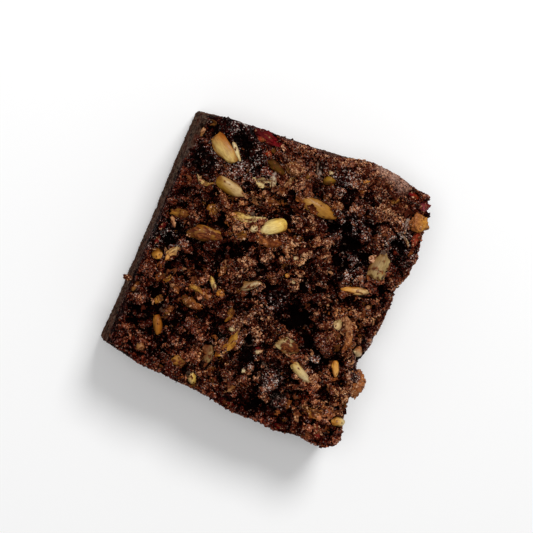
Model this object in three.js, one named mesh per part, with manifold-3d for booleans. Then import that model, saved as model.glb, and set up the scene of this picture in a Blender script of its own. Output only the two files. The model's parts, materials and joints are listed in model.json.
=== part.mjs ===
// A seeded oat brownie: one square slab with knife-cut sides, a flat baked base and a broken,
// crumbly top that holds sunflower kernels, oat flakes and scraps of nut. It is one piece of food,
// so it is one solid. Millimetres, +Z up, the base on z = 0.

import * as THREE from "three";
import { ImprovedNoise } from "three/addons/math/ImprovedNoise.js";
import { mergeVertices } from "three/addons/utils/BufferGeometryUtils.js";
import Module from "manifold-3d";

// Driving dimensions
const HEIGHT = 24; // base to the mean level of the top
const RIM_ROUND = 1.5; // how far the worn rim reaches in from the edge
const RIM_DROP = 0.9; // and how far it falls there
const FOOT_INSET = 0.7; // how far the bottom edge tucks in
const FOOT_HEIGHT = 1.6; // over this height
const HALF_WIDTH = 33; // about, from the middle to a side
const RIM_FADE = 2; // power by which the crumbled line of the rim gives way to the straight foot
const SPARE_DEPTH = 0.6; // the slab is made this much too deep, and cut off flat
const CELLS_X = 48; // cells across the top
const CELLS_Y = 52; // cells along it
const WALL_ROWS = 6; // rows of cells up each side
const ROW_POWER = 1.35; // above 1, the lowest rows are the shortest
const WELD = 1e-4; // corners closer than this are one

// The rim of the top, as it has crumbled: each edge from its lower or left end to its other end
const RIM = {
  left: [[-30.6, -27.8], [-31.2, -21], [-31, -12], [-30.7, -2], [-30.3, 12], [-30, 22],
    [-30.2, 29], [-29.4, 33.4]],
  right: [[31.9, -32.6], [32.3, -29], [31.2, -25.2], [30.4, -21], [29.9, -13], [30.4, -3], [31.8, 6],
    [31.3, 10.5], [32.8, 14.5], [33.6, 19.5], [33, 25.5], [32.6, 28.5], [31.4, 32], [30.7, 35.6]],
  bottom: [[-30.6, -27.8], [-26, -29.3], [-20, -30.2], [-10, -30.9], [-3.5, -31.4], [0.5, -32.6],
    [5.5, -33.4], [11, -33.1], [16.3, -33.9], [21, -33.1], [27.5, -33.7], [31.9, -32.6]],
  top: [[-29.4, 33.4], [-24, 35], [-14, 35.2], [-3, 35.6], [3, 35.5], [8, 36.7], [13.5, 38.2],
    [20, 37.6], [24.5, 36.6], [27.5, 35.6], [30.7, 35.6]],
};
// The foot of the sides, nearly straight because a knife cut them
const FOOT = {
  left: [[-33.3, -29.3], [-32.3, -8], [-31.9, 10], [-31, 34.6]],
  right: [[32.6, -34.2], [32.3, -10], [33.4, 12], [32, 36.3]],
  bottom: [[-33.3, -29.3], [-12, -32.2], [8, -33.8], [32.6, -34.2]],
  top: [[-31, 34.6], [-8, 36.4], [14, 37.6], [32, 36.3]],
};

// Clumps of crumb that stand up and hollows torn out between them: x, y, radius, height or depth.
// Each fades out at BUMP_REACH times its radius.
const BUMP_REACH = 1.25;
const CLUMPS = [
  [20.3, -6.6, 5.3, 2.9], [16.6, -3.4, 2.6, 1.1], [10.2, -22.2, 4, 2.3], [23.3, 21.2, 2.8, 1.5],
  [14, -27, 2.9, 1.3], [-22.2, -9.5, 2.7, 1.2], [-21.6, -13.2, 2.8, 1.5], [-14.5, -3.4, 2.8, 1],
  [-9, -8.8, 3.2, 1.3], [-4.6, -10.6, 3, 1.3], [-16.5, -19.2, 2.9, 1.1], [-29, -20.6, 2.4, 1.1],
  [-8.6, -18.8, 2.8, 1], [7.6, 28.2, 3, 1.4], [8.4, 25.4, 2.1, 0.9], [4.2, -11.4, 4, 1],
  [4.2, 15, 5, 1.2], [-9.4, 19.8, 4, 1.3], [-24.4, 16.6, 3.8, 0.9], [1, -28, 3, 1.1],
  [24.4, -21.4, 4.2, 1.5], [27, -30.8, 3.6, 1.2], [22, 3.2, 3, 1], [16.4, 24, 4, 0.7],
  [11, 34, 4, 0.8], [-29, -3, 2, 0.8], [-18, 30.5, 4.5, 0.7], [29.8, 22, 3, 0.8],
];
const HOLLOWS = [
  [11.4, -4, 3.7, 4.6], [9, -8.2, 2.5, 2.6], [11.6, 18.4, 2.7, 2.8], [13.4, 13.4, 2.6, 2.3],
  [20.2, 14.4, 2.6, 1.8], [0.8, -13.4, 2, 1.6], [3.2, -15, 1.9, 1.5], [5.8, -21.8, 2, 2.4],
  [19.7, -21.6, 2.1, 2.2], [17.2, -25, 2, 1.7], [21.8, -13.6, 2.2, 2.2], [-17.6, -12.6, 2.1, 1.9],
  [-16.6, -16.2, 2, 1.7], [-15.6, -8.8, 1.7, 1.4], [-25.9, -12, 2, 1.9], [-24, -16.6, 1.8, 1.9],
  [-26.8, -21.6, 2.1, 1.6], [-19.2, -5.8, 1.7, 1.4], [-27.6, 14, 1.7, 1.5], [-15.8, 10.2, 2.3, 1.9],
  [-14.6, 5.6, 2, 1.4], [-21.4, -1.6, 2.6, 1.3], [-1.2, 21, 2.2, 2], [-4.8, 17.8, 1.9, 1.7],
  [2.2, 28.6, 2, 1.6], [12.2, 27.4, 1.9, 1.5], [17.4, 29.4, 2.2, 1.6], [7.4, 4.2, 2.6, 1.6],
  [-28.4, 24.6, 2, 1.1], [-6.2, -24.6, 2.6, 1.4], [29.2, -27.6, 1.6, 2.2], [31, -10.4, 4, 5.5],
  [15, 40, 3.6, 3], [21.6, 39.4, 3.6, 3.4],
];

// Crumb relief over all of the top: size of its bumps and how high they stand. It is noise folded
// at zero, which is rounded above and creased below, then stretched and brought back to the mean.
const CRUMB = [[4.2, 0.75], [2.4, 0.6]];
const FOLD_GAIN = 2.4;
const FOLD_MEAN = 0.6;
const CRUMB_LAYER = 7.3; // each size is read from its own layer of the noise
const WALL_WAVE = { size: 9, high: 0.35 }; // slow bulges of the cut sides

// What is pressed into the top: x, y, length, width, turn in degrees anticlockwise from +X, tilt of
// the pointed end upwards, and how far the middle stands above the crumb there, besides PROUD.
// Each is a low-sided ball, drawn to a point by the share in point.
const PROUD = 0.6;
const KERNEL = { thick: 2.4, sides: 6, rings: 5, point: 0.28 };
const KERNELS = [
  [-22, 27.8, 9.6, 4.6, -27, 0, 0.5], [-17.4, 19.2, 8, 3.7, -6, 0, 0.6], [-3.8, 13.9, 7.6, 4, 215, -6, 1],
  [5.3, 22.7, 9.9, 3.8, -12, 0, 0.6], [24.9, 14.2, 8.4, 4.6, 92, 0, 0.7], [21.2, 6.3, 7.3, 1.7, 18, 5, 0.8],
  [-21.7, -19.2, 5.2, 2.6, -62, 0, 0.7], [23.9, -13.6, 4.3, 2, -68, 0, 0.8], [-26.9, 8.8, 5, 2.8, 4, 0, 0.5],
  [-3.7, -1.8, 6, 2.6, 40, 6, 0.5], [-19, 6.2, 8.2, 3.6, 5, 0, 0.5], [15.8, -17.2, 7, 2.8, -29, 0, 0.6],
  [5.2, 29.5, 3.4, 2.4, 20, 0, 0.3], [-8.3, 28, 5.4, 2.4, -18, 0, 0.2], [-7.3, -21.6, 4.6, 3, -62, 0, 0.4],
  [10.8, -12.6, 6, 3.8, -6, 0, 0.3], [20.4, -3, 3.2, 2.4, 70, 0, 0.5], [30.2, -26, 3.4, 2.2, 0, 0, 0.4],
  [-8.7, -28.9, 3.6, 2.4, -58, 0, 0.4],
];
const FLAKE = { thick: 1.3, sides: 6, rings: 3, point: 0 };
const FLAKES = [
  [-9.8, 23.2, 5.6, 1.9, 12, 0, 0.5], [-10.8, 13.3, 6.4, 2.6, 12, 0, 0.6], [-10, 18.2, 4.6, 1.5, -10, 0, 0.5],
  [-15, -7.3, 7, 2, -17, 0, 0.6], [-3.4, -17.4, 9, 2.3, 67, 0, 0.6], [-23.2, 18, 4.4, 1.6, 5, 0, 0.4],
  [-13.6, -25.8, 3.6, 3, -10, 0, 0.4], [23.6, -25.8, 5.2, 2, 12, 0, 0.5], [-12.2, -5, 4.6, 1.3, -50, 0, 0.6],
  [-24.8, -1, 4.2, 1.9, 80, 0, 0.5], [-3.6, 9.9, 6.4, 2.6, 6, 0, 0.3], [28.6, -7.6, 3.4, 2.4, -30, -20, 0.8],
  [-4, 25.8, 3.6, 1.5, 82, 0, 0.4],
];
const NUT = { thick: 2.8, sides: 6, rings: 4, point: 0 };
const NUTS = [
  [30.8, 28, 4.8, 4.2, 10, 0, 0.4], [-28, -2.7, 2.9, 2.6, 0, 0, 0.6], [-4.2, 29.2, 4.2, 3, -10, 0, 0.4],
];
// A lump of crumb that clings to the right-hand side below the rim, and how uneven it is
const CLINGING = { at: [30.5, -15.6, 19], size: [5.4, 6.2, 6], uneven: 0.3 };

const noise = new ImprovedNoise();
const wasm = await Module();
wasm.setup();

const curve = (points) => new THREE.CatmullRomCurve3(points.map(([x, y]) => new THREE.Vector3(x, y, 0)));
const outline = (edges) => Object.fromEntries(Object.entries(edges).map(([side, pts]) => [side, curve(pts)]));
const rim = outline(RIM);
const foot = outline(FOOT);

// The point at (u, v), both 0 to 1, of the sheet stretched between four edge curves
function stretched(edges, u, v) {
  const between = (a, b, t) => new THREE.Vector3().lerpVectors(a, b, t);
  const [low, high] = [edges.bottom.getPointAt(u), edges.top.getPointAt(u)];
  const [near, far] = [edges.left.getPointAt(v), edges.right.getPointAt(v)];
  const corners = between(
    between(edges.bottom.getPointAt(0), edges.bottom.getPointAt(1), u),
    between(edges.top.getPointAt(0), edges.top.getPointAt(1), u), v);
  return between(low, high, v).add(between(near, far, u)).sub(corners);
}

// A round-topped bump, 1 in its middle
const bump = (x, y, [cx, cy, radius]) => {
  const near = Math.max(0, 1 - ((x - cx) ** 2 + (y - cy) ** 2) / (BUMP_REACH * radius) ** 2);
  return near ** 1.5;
};
const heaped = (x, y, features) => features.reduce((sum, f) => sum + f[3] * bump(x, y, f), 0);

const folded = (x, y, layer) => FOLD_GAIN * Math.abs(noise.noise(x, y, layer)) - FOLD_MEAN;
const crumb = (x, y) => CRUMB.reduce(
  (sum, [size, high], i) => sum + high * folded(x / size, y / size, i * CRUMB_LAYER), 0);

// Height of the top over a point, away from the worn rim
const topAt = (x, y) => HEIGHT + heaped(x, y, CLUMPS) - heaped(x, y, HOLLOWS) + crumb(x, y);

// The slab itself: a box of cells, each corner moved to its place
function slab() {
  const box = new THREE.BoxGeometry(1, 1, 1, CELLS_X, CELLS_Y, WALL_ROWS);
  const at = box.getAttribute("position");
  for (let i = 0; i < at.count; i++) {
    const [u, v, level] = [at.getX(i) + 0.5, at.getY(i) + 0.5, (at.getZ(i) + 0.5) ** ROW_POWER];
    const above = stretched(rim, u, v);
    const below = stretched(foot, u, v);
    const p = new THREE.Vector3().lerpVectors(below, above, level ** RIM_FADE);
    const inward = Math.min(u, 1 - u, v, 1 - v) * 2 * HALF_WIDTH; // about how far in from the rim
    const worn = RIM_DROP * Math.max(0, 1 - inward / RIM_ROUND) ** 2;
    const z = THREE.MathUtils.lerp(-SPARE_DEPTH, topAt(above.x, above.y) - worn, level);
    const tuck = FOOT_INSET * Math.max(0, 1 - z / FOOT_HEIGHT);
    const { size, high } = WALL_WAVE;
    const wave = high * noise.noise(p.x / size, p.y / size, z / size);
    p.multiplyScalar(1 + (wave - tuck) / HALF_WIDTH);
    at.setXYZ(i, p.x, p.y, z);
  }
  return box;
}

// A kernel, flake or nut: its ball drawn out to a point at +X, then laid into the top
const pressedIn = ({ thick, sides, rings, point }) => ([x, y, length, width, turn, tilt, stands]) => {
  const ball = new THREE.SphereGeometry(1, sides, rings).rotateZ(-Math.PI / 2);
  const at = ball.getAttribute("position");
  for (let i = 0; i < at.count; i++) {
    const narrower = 1 - point * at.getX(i);
    at.setXYZ(i, at.getX(i), at.getY(i) * narrower, at.getZ(i) * narrower);
  }
  return ball.scale(length / 2, width / 2, thick / 2)
    .rotateY(THREE.MathUtils.degToRad(-tilt))
    .rotateZ(THREE.MathUtils.degToRad(turn))
    .translate(x, y, topAt(x, y) + stands + PROUD - thick / 2);
};

function clingingLump() {
  const lump = new THREE.IcosahedronGeometry(0.5, 1);
  const at = lump.getAttribute("position");
  for (let i = 0; i < at.count; i++) {
    const p = new THREE.Vector3().fromBufferAttribute(at, i);
    p.multiplyScalar(1 + CLINGING.uneven * noise.noise(...p.clone().multiplyScalar(CRUMB_LAYER).toArray()));
    at.setXYZ(i, p.x, p.y, p.z);
  }
  return lump.scale(...CLINGING.size).translate(...CLINGING.at);
}

function toSolid(geometry) {
  const bare = geometry.clone();
  bare.deleteAttribute("normal");
  bare.deleteAttribute("uv");
  const merged = mergeVertices(bare, WELD);
  return new wasm.Manifold(new wasm.Mesh({
    numProp: 3,
    vertProperties: merged.getAttribute("position").array,
    triVerts: new Uint32Array(merged.index.array),
  }));
}

function toGeometry(solid) {
  const mesh = solid.getMesh();
  return new THREE.BufferGeometry()
    .setAttribute("position", new THREE.BufferAttribute(mesh.vertProperties, 3))
    .setIndex(new THREE.BufferAttribute(mesh.triVerts, 1));
}

// Everything below the base plane, cut away to leave a flat face to rest on
const underBase = toSolid(
  new THREE.BoxGeometry(4 * HALF_WIDTH, 4 * HALF_WIDTH, HEIGHT).translate(0, 0, -HEIGHT / 2));

const pressed = [
  ...KERNELS.map(pressedIn(KERNEL)),
  ...FLAKES.map(pressedIn(FLAKE)),
  ...NUTS.map(pressedIn(NUT)),
  clingingLump(),
].map(toSolid);
const joined = pressed.reduce((whole, piece) => whole.add(piece), toSolid(slab())).subtract(underBase);
// Only the body itself is kept: no scrap outside it and no pocket sealed inside it
const body = joined.decompose().reduce((a, b) => (b.volume() > a.volume() ? b : a));

const geometry = toGeometry(body);
geometry.computeBoundingBox();
const middle = geometry.boundingBox.getCenter(new THREE.Vector3());
geometry.translate(-middle.x, -middle.y, 0).computeVertexNormals();

const brownie = new THREE.Mesh(
  geometry,
  new THREE.MeshStandardMaterial({ color: 0x3b2018, roughness: 0.55, metalness: 0 }),
);
brownie.name = "brownie";

const group = new THREE.Group();
group.add(brownie);
export default group;
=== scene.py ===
# %% [markdown]
# # A seeded oat brownie
# The brownie is a square slab with knife-cut sides and a broken, crumbly top. Sunflower kernels,
# oat flakes, scraps of nut and dark red berry skin are pressed into it. The solid model gives the
# slab's outline, its height and the place of each kernel, and this script makes what a close look
# shows: crumb at every size, the kernels' own form, and a moist, uneven finish.

# %% Load the solid model
import json
import math
from collections import namedtuple

import bmesh
import bpy
import numpy as np
from mathutils import Matrix, Vector, noise
from mathutils.bvhtree import BVHTree
from mathutils.kdtree import KDTree

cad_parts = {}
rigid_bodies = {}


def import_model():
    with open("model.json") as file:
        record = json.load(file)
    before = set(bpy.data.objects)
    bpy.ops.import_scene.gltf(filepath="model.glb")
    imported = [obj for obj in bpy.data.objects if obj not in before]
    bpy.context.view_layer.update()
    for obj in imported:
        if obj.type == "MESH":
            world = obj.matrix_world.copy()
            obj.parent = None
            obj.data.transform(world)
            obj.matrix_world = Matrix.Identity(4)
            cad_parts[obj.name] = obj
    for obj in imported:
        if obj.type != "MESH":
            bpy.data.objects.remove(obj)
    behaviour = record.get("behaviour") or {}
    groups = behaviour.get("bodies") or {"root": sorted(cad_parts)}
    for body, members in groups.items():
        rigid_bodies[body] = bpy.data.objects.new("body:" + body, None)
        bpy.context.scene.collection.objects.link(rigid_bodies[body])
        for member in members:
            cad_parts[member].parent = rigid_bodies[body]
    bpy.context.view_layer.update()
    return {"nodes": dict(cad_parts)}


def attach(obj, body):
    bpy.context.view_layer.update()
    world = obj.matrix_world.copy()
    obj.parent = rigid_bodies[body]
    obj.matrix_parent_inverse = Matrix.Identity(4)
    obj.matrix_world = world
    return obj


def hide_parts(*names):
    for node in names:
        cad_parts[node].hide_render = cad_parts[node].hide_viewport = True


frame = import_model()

MM = 0.001
NODE = "brownie"

# %% [markdown]
# ## Sums of nodes
# Materials and geometry nodes are both made of sums. They could be wired by hand, one node at a
# time, but that hides the formula. One small class wraps a node's output instead, so that a formula
# is written as Python, and one method makes every other node.


# %% A wire that can be used in sums
class Wire:
    """A node's output. Sums of wires and numbers add Math nodes to the same tree."""

    def __init__(self, tree, socket=None):
        self.tree, self.socket = tree, socket

    def node(self, kind, settings=None, sockets=None, out=0):
        """A new node: its settings are set first, then a value or a wire for each socket."""
        made = self.tree.nodes.new(kind)
        for name, value in (settings or {}).items():
            if name == "stops":
                set_stops(made.color_ramp, value)
            else:
                setattr(made, name, value)
        for name, value in (sockets or {}).items():
            if isinstance(value, Wire):
                self.tree.links.new(value.socket, made.inputs[name])
            else:
                made.inputs[name].default_value = value
        return Wire(self.tree, made.outputs[out])

    def beside(self, name):
        """Another output of the same node."""
        return Wire(self.tree, self.socket.node.outputs[name])

    def maths(self, operation, a, b=0.0):
        return self.node("ShaderNodeMath", {"operation": operation}, {0: a, 1: b})

    def vector(self, operation, b, socket=1, out=0):
        return self.node("ShaderNodeVectorMath", {"operation": operation}, {0: self, socket: b}, out)

    def scaled(self, factor):
        return self.vector("SCALE", factor, socket="Scale")

    def __add__(self, other):
        return self.maths("ADD", self, other)

    def __sub__(self, other):
        return self.maths("SUBTRACT", self, other)

    def __mul__(self, other):
        return self.maths("MULTIPLY", self, other)

    def __rsub__(self, other):
        return self.maths("SUBTRACT", other, self)

    def __pow__(self, other):
        return self.maths("POWER", self, other)

    __radd__, __rmul__ = __add__, __mul__

    def above(self, other):
        return self.maths("MAXIMUM", self, other)

    def ramp(self, low, high, to_low=0.0, to_high=1.0):
        """Smoothly from to_low to to_high as the value goes from low to high."""
        return self.node("ShaderNodeMapRange", {"interpolation_type": "SMOOTHSTEP"},
                         {0: self, 1: low, 2: high, 3: to_low, 4: to_high})

    def mixed(self, a, b, blend="MIX"):
        """Colour a where this is 0, colour b where it is 1."""
        return self.node("ShaderNodeMix", {"data_type": "RGBA", "blend_type": blend},
                         {0: self, 6: a, 7: b}, out=2)

    def noise(self, size, detail=2.0, rough=0.5, out=0):
        """Noise with waves of about that size, read at this vector."""
        return self.node("ShaderNodeTexNoise", {}, {
            "Vector": self, "Scale": 1 / size, "Detail": detail, "Roughness": rough}, out)


# %% Put stops on a colour ramp
def set_stops(color_ramp, stops):
    """Puts (position, colour) stops on a colour ramp."""
    while len(color_ramp.elements) > 1:
        color_ramp.elements.remove(color_ramp.elements[-1])
    color_ramp.elements[0].position, color_ramp.elements[0].color = stops[0]
    for position, colour in stops[1:]:
        color_ramp.elements.new(position).color = colour


# %% [markdown]
# ## Colours
# A colour is easiest to judge as it looks on a screen, but the renderer works with light. So each
# colour is named once, as a screen colour, and turned into light here.

# %% Name the colours
def light(code):
    """A screen colour such as 8A4E14 as the linear colour that nodes use."""
    parts = [int(code[i:i + 2], 16) / 255 for i in (0, 2, 4)]
    return tuple(p / 12.92 if p < 0.04045 else ((p + 0.055) / 1.055) ** 2.4 for p in parts) + (1.0,)


# One grey paint is a painted sheen, for the flakes laid where wet crumb catches the light
PAINT = {name: light(code) for name, code in {
    "cream": "DCC88C", "straw": "E2BC58", "butter": "D0A854", "gold": "BA8C3C", "honey": "A06C26",
    "amber": "74420C", "orange": "D4943A", "tan": "825626", "brown": "5E3812", "olive": "5C3C0E",
    "grey": "A08656", "beige": "C8A874", "pale": "D0BC8E", "rust": "8E5024", "toast": "AE6C3A",
    "choc": "46190C", "pink": "B8845A", "wine": "420406", "cherry": "720C14", "ember": "8E2A0E",
    "rose": "A04C56", "peach": "DCA45A", "ochre": "9A6424", "umber": "6A3A1E", "moss": "906818",
    "rind": "A05C16", "wheat": "CCAE66", "copper": "AC7C36", "bark": "46290C", "hay": "866438",
    "reed": "B29A66", "frost": "9C8E84", "brick": "96402E",
}.items()}
print(len(PAINT), "paints for what is pressed into the crumb")

# %% [markdown]
# ## Where things lie
# Each kernel, flake and scrap has its own place, size and turn, because a brownie's top is known by
# them. They could be scattered by chance, but then it would be another brownie. Places are in
# millimetres from the middle of the top face. The solid is centred on its whole box, so MIDDLE is
# taken off.

# %% List the kernels
MIDDLE = np.array([0.137, 1.957])

# x, y: its middle; length, width; turn: from +X to its point, in degrees; blunt, point: the paint
# at its blunt end and at its point; shade: which way the paint changes, in degrees from the length;
# lift: point up, in degrees; bend: to a banana; flat: where one long side is cut; snap: where the
# blunt end is broken off; dust: how much crumb sticks to it; sunk: the share of it that is under
# the crumb, below 0 where it stands clear
Bit = namedtuple("Bit", "x y length width turn blunt point shade lift bend flat snap dust sunk",
                 defaults=(0, 0, 0, 1, 1, 0.5, 0.4))

KERNELS = [
    Bit(-22.0, 27.7, 9.3, 4.6, -33, "rind", "wheat", shade=-50, flat=0.7, snap=0.8, dust=0, sunk=0.2),
    Bit(-17.4, 19.2, 7.8, 3.4, -9, "moss", "beige", shade=50, flat=0.9, dust=0.4, sunk=0.2),
    Bit(-3.7, 13.8, 7.3, 4.0, 216, "straw", "cream", lift=-6, flat=0.8, dust=0.1, sunk=0.15),
    Bit(5.5, 22.3, 9.7, 3.8, -8, "copper", "honey", shade=20, flat=0.9, dust=0.7, sunk=0.25),
    Bit(21.4, 6.4, 7.4, 2.1, 16, "orange", "beige", lift=4, dust=0.6, sunk=0.1),
    Bit(-21.6, -19.3, 5.2, 2.3, -66, "rind", "ochre", shade=-80, dust=0.2, sunk=0.35),
    Bit(24.1, -13.7, 4.3, 1.8, -66, "orange", "peach", dust=0.1, sunk=0.1),
    Bit(16.1, -17.6, 6.6, 2.5, -27, "wheat", "pale", flat=0.8, snap=0.9, dust=0.1, sunk=0.2),
    Bit(-3.7, -1.7, 5.6, 2.3, 36, "tan", "pale", shade=-60, lift=4, dust=0.8, sunk=0.35),
    Bit(5.2, 29.6, 3.3, 2.3, 22, "bark", "moss", shade=80, dust=0.5, sunk=0.45),
    Bit(-8.3, 28.0, 5.4, 2.2, -20, "bark", "olive", shade=-80, dust=0.9, sunk=0.5),
    Bit(-8.7, -28.9, 3.8, 2.4, -58, "beige", "straw", shade=70, dust=1.1, sunk=0.3),
    Bit(30.3, -26.2, 4.4, 2.6, 0, "orange", "cream", shade=10, dust=0.2, sunk=0.2),
    Bit(-19.1, 28.0, 5.2, 1.2, -46, "pale", "cream", lift=6, sunk=-0.2),
]
# Kernels that have lost their skin or broken: flatter, with an uneven edge
HALVES = [
    Bit(25.0, 14.0, 8.0, 4.4, 88, "reed", "hay", shade=60, snap=0.66, dust=0.7, sunk=0.15),
    Bit(10.8, -12.6, 5.8, 3.8, -6, "reed", "grey", dust=1.9, sunk=0.35),
    Bit(-7.3, -21.6, 4.6, 2.8, -66, "umber", "grey", shade=60, dust=0.9, sunk=0.3),
    Bit(20.4, -3.0, 2.8, 2.1, 70, "beige", "grey", dust=0.5, sunk=0.3),
    Bit(28.4, -7.8, 4.0, 2.5, -30, "toast", "pale", shade=-60, lift=-20, snap=0.7, dust=0.2, sunk=0.15),
    Bit(-13.6, -25.9, 3.4, 2.7, -10, "honey", "tan", dust=1.2, sunk=0.3),
    Bit(-23.8, -25.8, 2.4, 2.0, 10, "tan", "pink", dust=0.7, sunk=0.3),
    Bit(-0.2, 28.7, 1.5, 1.1, 60, "olive", "tan", sunk=0.3),
    Bit(-4.0, -13.6, 1.5, 1.2, 0, "pale", "cream", sunk=0),
    Bit(4.5, 8.7, 1.5, 1.1, 30, "pale", "pink", sunk=0.3),
    Bit(2.7, -22.4, 1.5, 1.2, 0, "pale", "pale"),
    Bit(4.7, -16.6, 1.9, 1.0, 40, "pale", "pink"),
    Bit(6.2, 2.9, 1.2, 0.9, -20, "beige", "pale"),
    Bit(4.3, 3.8, 1.2, 1.0, 10, "orange", "toast"),
    Bit(26.5, 3.8, 1.7, 1.1, 40, "pink", "tan"),
    Bit(-28.6, 29.4, 2.5, 1.1, -88, "pink", "tan", dust=0.8),
    Bit(5.0, 31.7, 1.2, 0.9, 16, "grey", "pale"),
    Bit(-8.2, 11.8, 2.1, 1.8, -2, "beige", "pale", snap=0.7, sunk=0),
    Bit(-19.0, 6.1, 8.6, 3.6, 12, "brown", "honey", shade=60, lift=3, dust=1.8, sunk=0.25),
    Bit(-28.0, -2.7, 3.0, 2.6, 0, "amber", "orange", shade=-60, dust=0, sunk=0.1),
]
print(len(KERNELS), "kernels,", len(HALVES), "broken ones")

# %% List the oat flakes and hulls
# The grey flakes near the top rim and at the right are painted sheen: pale sheets laid where wet crumb
# catches the light
FLAKES = [
    Bit(-9.8, 23.2, 5.6, 2.1, 12, "cream", "pale", dust=0.6, sunk=0),
    Bit(-7.9, 24.8, 4.2, 1.7, -75, "frost", "pale", sunk=0),
    Bit(1.9, 31.6, 4.6, 1.3, 112, "frost", "frost", dust=0.5, sunk=0.1),
    Bit(-10.4, 13.7, 7.3, 2.5, 13, "butter", "cream", bend=0.15, sunk=-0.1),
    Bit(-10.0, 18.2, 4.6, 1.6, -24, "tan", "pink", sunk=0),
    Bit(-15.1, -7.7, 6.6, 1.6, -17, "gold", "toast", bend=-0.2, sunk=-0.4),
    Bit(-3.3, -17.4, 9.1, 2.1, 71, "orange", "gold", bend=0.12, dust=0.2, sunk=-0.3),
    Bit(-23.7, 18.3, 4.8, 1.5, -8, "beige", "butter", bend=0.5, sunk=-0.2),
    Bit(23.6, -25.7, 5.8, 2.4, 14, "honey", "toast", bend=0.4, dust=1.4, sunk=0),
    Bit(-12.2, -5.0, 4.4, 1.2, -52, "butter", "cream", sunk=-0.3),
    Bit(-24.8, -1.0, 4.6, 2.0, 62, "peach", "beige", bend=-0.2, dust=0, sunk=-0.2),
    Bit(-3.4, 10.1, 7.0, 3.0, 5, "toast", "rust", bend=0.2, dust=0.7, sunk=0),
    Bit(-19.1, 12.4, 3.4, 2.2, -30, "honey", "tan", dust=0.9, sunk=0.2),
    Bit(-26.7, 8.6, 4.9, 2.7, 13, "honey", "tan", dust=0.4, sunk=0.1),
    Bit(-4.0, 25.8, 3.8, 1.3, 78, "pink", "beige", sunk=-0.1),
    Bit(-27.3, 6.1, 3.1, 1.1, -58, "pink", "pink", sunk=-0.2),
    Bit(-23.3, -7.1, 3.6, 1.0, 60, "honey", "gold", bend=0.15, sunk=-0.2),
    Bit(23.3, -4.0, 10.0, 2.2, -66, "pink", "toast", bend=-0.3, dust=0.6, sunk=-0.1),
    Bit(-9.9, -6.4, 2.4, 1.9, -27, "orange", "toast", dust=0.6, sunk=-0.1),
    Bit(-15.9, -11.4, 5.6, 2.2, -6, "tan", "rust", bend=0.15, dust=1, sunk=0),
    Bit(-10.3, 9.2, 3.2, 2.0, 60, "tan", "honey", dust=0.8),
    Bit(13.9, 32.9, 1.7, 1.1, 20, "toast", "orange", sunk=0),
    Bit(14.0, 30.1, 1.5, 1.0, 53, "toast", "orange", sunk=0),
    Bit(-11.4, -0.6, 3.4, 1.6, 80, "rust", "tan", dust=0.8),
    Bit(-25.4, -7.6, 3.2, 1.2, 30, "rust", "brown", dust=0.8),
    Bit(-30.2, -12.3, 3.0, 1.3, 70, "tan", "rust", dust=0.6),
    Bit(-20.6, -9.3, 2.6, 1.6, -58, "rust", "toast", dust=0.8, sunk=0),
    Bit(-23.7, -13.2, 2.6, 1.8, 64, "honey", "tan", dust=0.8),
    Bit(-20.5, -14.7, 3.4, 1.8, 58, "tan", "rust", dust=0.8),
    Bit(-6.3, 19.7, 4.2, 2.2, -12, "rust", "tan", dust=1.2),
    Bit(-6.0, -10.2, 3.8, 1.6, 80, "honey", "tan", bend=0.2, dust=0.6, sunk=0),
    Bit(1.0, -27.9, 3.4, 2.0, 48, "pink", "tan", dust=0.8, sunk=0),
    Bit(19.4, -28.3, 3.4, 1.6, -74, "rust", "pink", dust=0.6),
    Bit(22.8, 31.1, 2.5, 1.4, 45, "tan", "honey", dust=0.6),
    Bit(27.6, 26.5, 4.4, 1.0, -83, "frost", "frost", bend=0.2, dust=0.6, sunk=0),
    Bit(28.9, 22.9, 3.8, 1.0, -40, "frost", "grey", bend=-0.2, dust=0.6, sunk=0),
    Bit(4.0, 21.4, 3.0, 1.7, -25, "choc", "rust", dust=1, sunk=-1.7),
]
print(len(FLAKES), "flakes")

# %% List the nuts, the berry skin and the lumps
NUTS = [
    Bit(30.7, 28.1, 5.8, 4.8, 10, "toast", "orange", dust=0.3, sunk=0.2),
    Bit(9.7, 24.7, 2.4, 2.0, 2, "rust", "tan", dust=1.6, sunk=0.2),
    Bit(-4.2, 29.2, 4.3, 3.0, -10, "tan", "pink", dust=1.6, sunk=0.3),
]
# Dark red berry skin: thin wrinkled patches that show at the rim and in the corners
FRUITS = [
    Bit(-13.2, 34.2, 7.5, 3.2, -12, "wine", "cherry", dust=0.15),
    Bit(-14.2, 33.1, 1.9, 1.3, -5, "ember", "rust", sunk=0.1),
    Bit(-11.4, 30.4, 1.8, 1.2, 10, "ember", "ember", sunk=0.1),
    Bit(30.8, 32.6, 3.4, 2.8, 61, "rose", "cherry", sunk=0.3),
    Bit(26.9, 34.1, 3.4, 2.2, -9, "cherry", "ember"),
    Bit(31.6, 24.2, 4.8, 2.3, 80, "brick", "ember"),
    Bit(1.5, -31.4, 5.0, 2.2, -10, "wine", "cherry", dust=1),
    Bit(26.3, -31.0, 4.6, 3.0, -60, "brick", "cherry", dust=1),
    Bit(-29.4, 4.0, 2.8, 1.4, 70, "wine", "cherry", dust=0.8),
    Bit(-29.3, 0.4, 2.4, 1.3, 80, "cherry", "wine", dust=0.8),
    Bit(17.0, -32.8, 4.0, 1.6, -10, "cherry", "wine", dust=1),
    Bit(4.2, -16.0, 1.2, 0.9, 0, "cherry", "wine"),
    Bit(31.7, 20.6, 3.0, 1.4, 70, "rust", "wine"),
    Bit(-8.3, 33.4, 3.6, 1.6, -20, "cherry", "wine", dust=1),
    Bit(27.5, 19.0, 1.3, 0.9, -46, "ember", "wine", sunk=0.2),
    Bit(28.1, 14.7, 1.0, 0.8, -34, "ember", "wine", sunk=0.2),
]
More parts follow.
